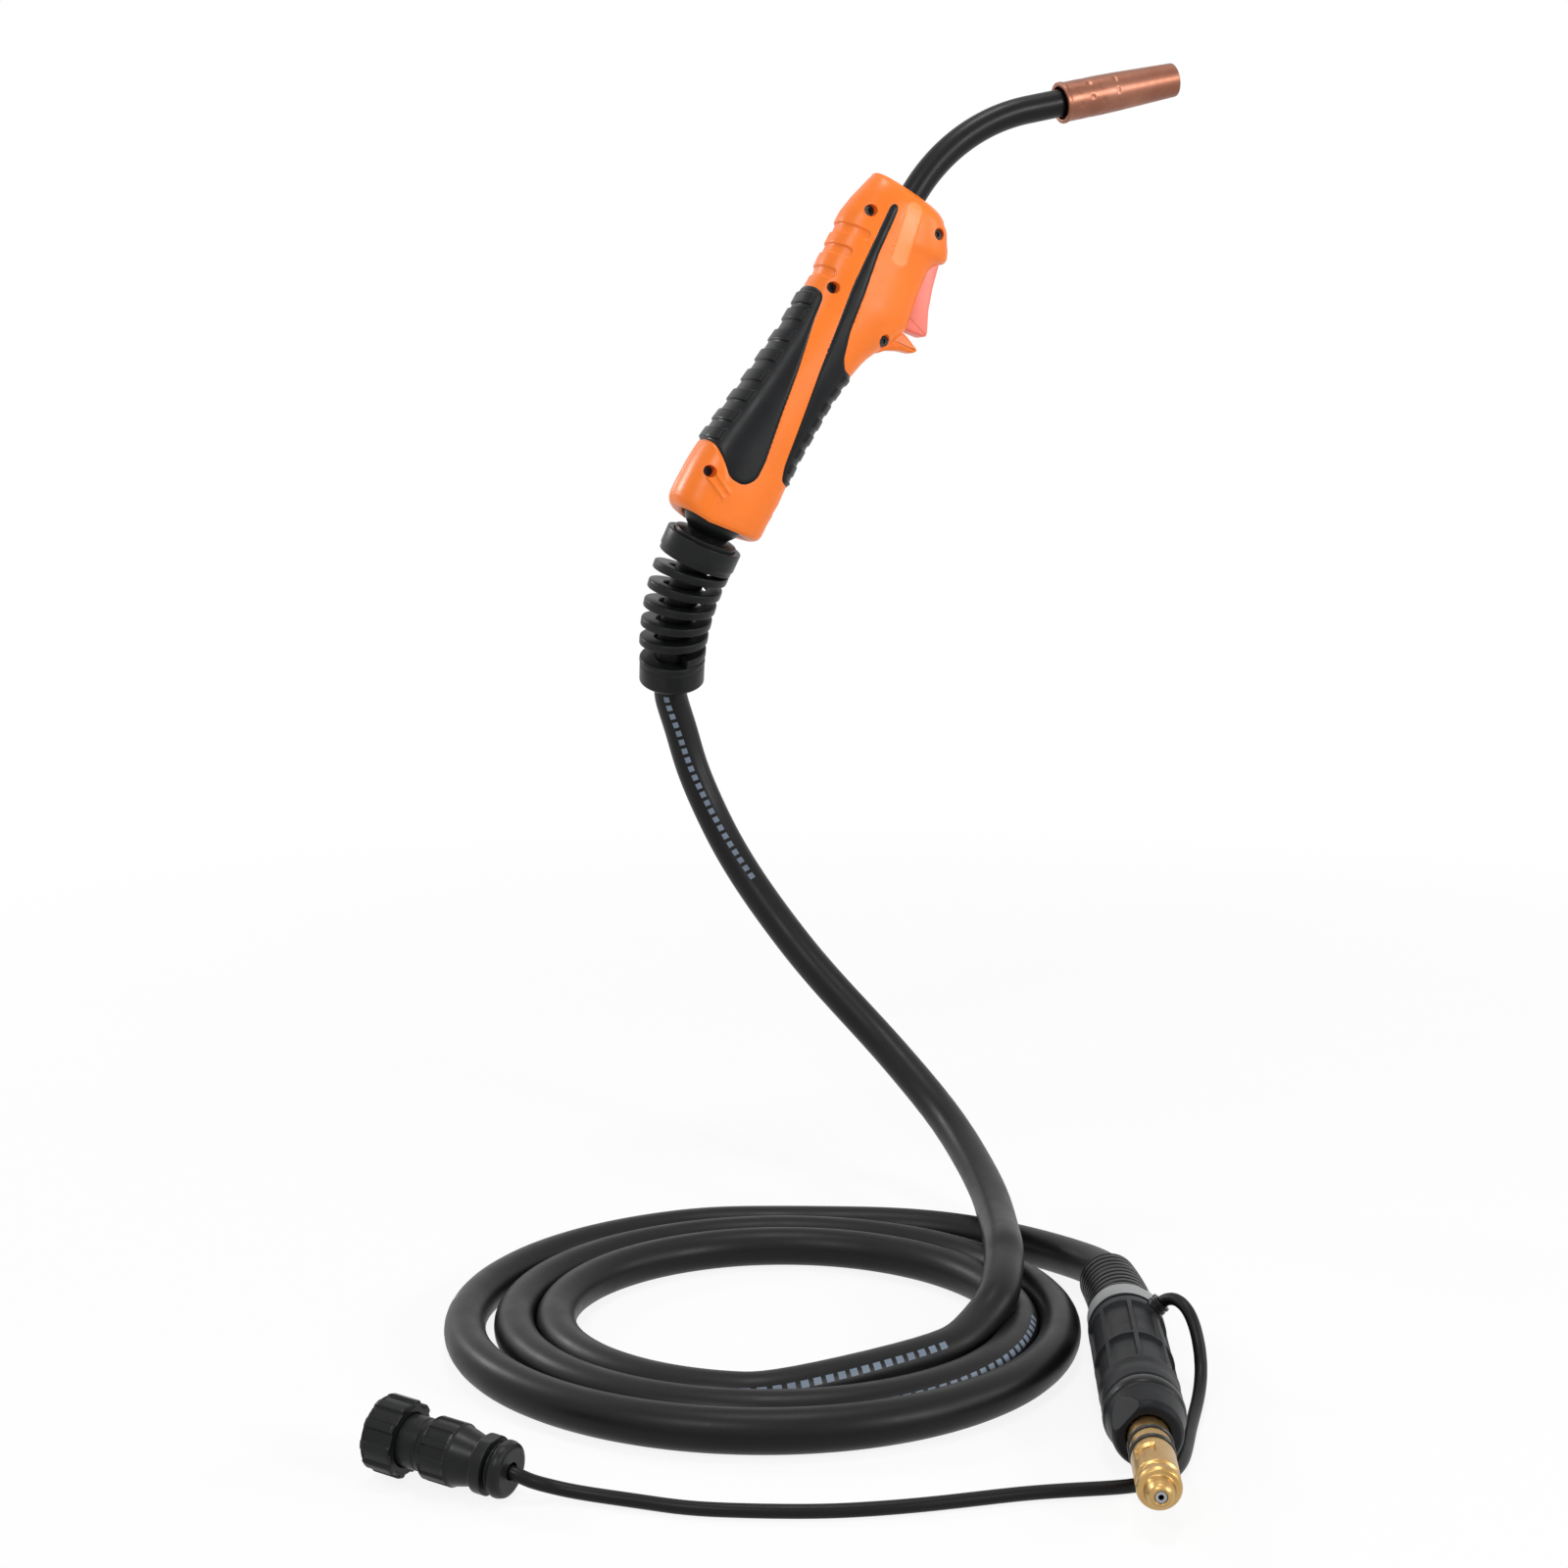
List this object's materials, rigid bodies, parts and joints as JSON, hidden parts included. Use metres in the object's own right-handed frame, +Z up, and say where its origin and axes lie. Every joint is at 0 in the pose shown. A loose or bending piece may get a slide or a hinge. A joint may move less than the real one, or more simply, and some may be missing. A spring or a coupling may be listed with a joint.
{
  "type": "MIG welding torch",
  "caption": "Hand-held gas-shielded wire welding torch with a bent neck, trigger handle, bending cable support, coiled cable, power pin connector and control plug.",
  "frame": {"origin": "grip point on the axis of the handle, in the handle's parting plane", "axes": "+X the way the nozzle points in plan, +Z up, +Y to the left of a hand that holds the torch; the cable lies on a floor 398 mm below the origin"},
  "size_m": [0.4847, 0.5175, 0.5701],
  "materials": {
    "orange_shell": "fine-textured orange moulding",
    "grip_rubber": "soft matt black overmould",
    "trigger_plastic": "smooth coral red",
    "black_plastic": "matt black moulding",
    "neck_lacquer": "black insulating sleeve, satin",
    "brass_parts": "machined brass",
    "copper_parts": "machined copper alloy",
    "nozzle_copper": "satin copper, stamped",
    "steel_parts": "plain steel",
    "insulator_plastic": "heat-resistant insulator",
    "cable_rubber": "smooth black cable sheath",
    "wire_plastic": "thin insulated wire",
    "grey_band": "light grey heat-shrink band",
    "connector_plastic": "dark grey ribbed moulding",
    "pin_brass": "turned brass",
    "o_ring_rubber": "black seal",
    "gold_contacts": "plated contacts"
  },
  "bodies": {
    "torch": {"handle_shell_left": "orange_shell", "handle_shell_right": "orange_shell", "rear_grip": "grip_rubber", "front_grip": "grip_rubber", "handle_screws": "steel_parts", "trigger_pin": "steel_parts", "switch_body": "black_plastic", "switch_leads": "wire_plastic", "neck_jacket": "neck_lacquer", "conductor_tube": "brass_parts", "wire_liner": "steel_parts", "neck_block": "brass_parts", "cable_crimp": "copper_parts", "gas_diffuser": "brass_parts", "contact_tip": "copper_parts", "nozzle_insulator": "insulator_plastic", "nozzle_spring": "steel_parts", "cable_core": "cable_rubber", "cable_rise": "cable_rubber", "cable_coil": "cable_rubber", "cable_tail": "cable_rubber", "rear_boot": "cable_rubber", "band_clamp": "grey_band", "connector_body": "connector_plastic", "locking_ring": "black_plastic", "pin_collar": "connector_plastic", "rear_crimp": "copper_parts", "power_pin": "pin_brass", "o_rings": "o_ring_rubber", "pin_liner": "steel_parts", "lead_gland": "black_plastic", "control_lead": "cable_rubber", "plug_shell": "black_plastic", "plug_insert": "black_plastic", "plug_pins": "gold_contacts", "plug_backshell": "black_plastic", "lead_clamp": "black_plastic", "clamp_screws": "steel_parts"},
    "trigger": {"trigger": "trigger_plastic"},
    "switch_plunger": {"switch_plunger": "black_plastic"},
    "nozzle": {"nozzle": "nozzle_copper"},
    "cable_support": {"ball_knuckle": "black_plastic", "union_nut": "black_plastic", "support_spring": "black_plastic", "support_cap": "black_plastic", "cable_top": "cable_rubber"},
    "coupling_ring": {"coupling_ring": "black_plastic"}
  },
  "joints": [
    {"name": "trigger_press", "type": "hinge", "parent": "torch", "child": "trigger", "pos_m": [0.07434, 0, 0.06857], "axis": [0, 1, 0], "range_deg": [0, 4], "stiffness_Nm_per_rad": 1.5, "springref_deg": -2.86},
    {"name": "plunger_slide", "type": "slide", "parent": "torch", "child": "switch_plunger", "axis": [-0.8387, 0, 0.5446], "range_m": [0, 0.0021]},
    {"name": "nozzle_slide", "type": "slide", "parent": "torch", "child": "nozzle", "axis": [0.9744, 0, 0.225], "range_m": [0, 0.03]},
    {"name": "support_tilt", "type": "hinge", "parent": "torch", "child": "cable_support", "pos_m": [-0.03785, 0, -0.05829], "axis": [0, 1, 0], "range_deg": [-8, 8], "deforming": ["cable_rise", "cable_core"]},
    {"name": "coupling_turn", "type": "hinge", "parent": "torch", "child": "coupling_ring", "pos_m": [-0.25381, -0.33957, -0.38404], "axis": [-0.711, 0.6987, 0.0788], "range_deg": [0, 120]}
  ],
  "couplings": [
    {"joint": "plunger_slide", "follows": "trigger_press", "m_per_rad": 0.03}
  ]
}
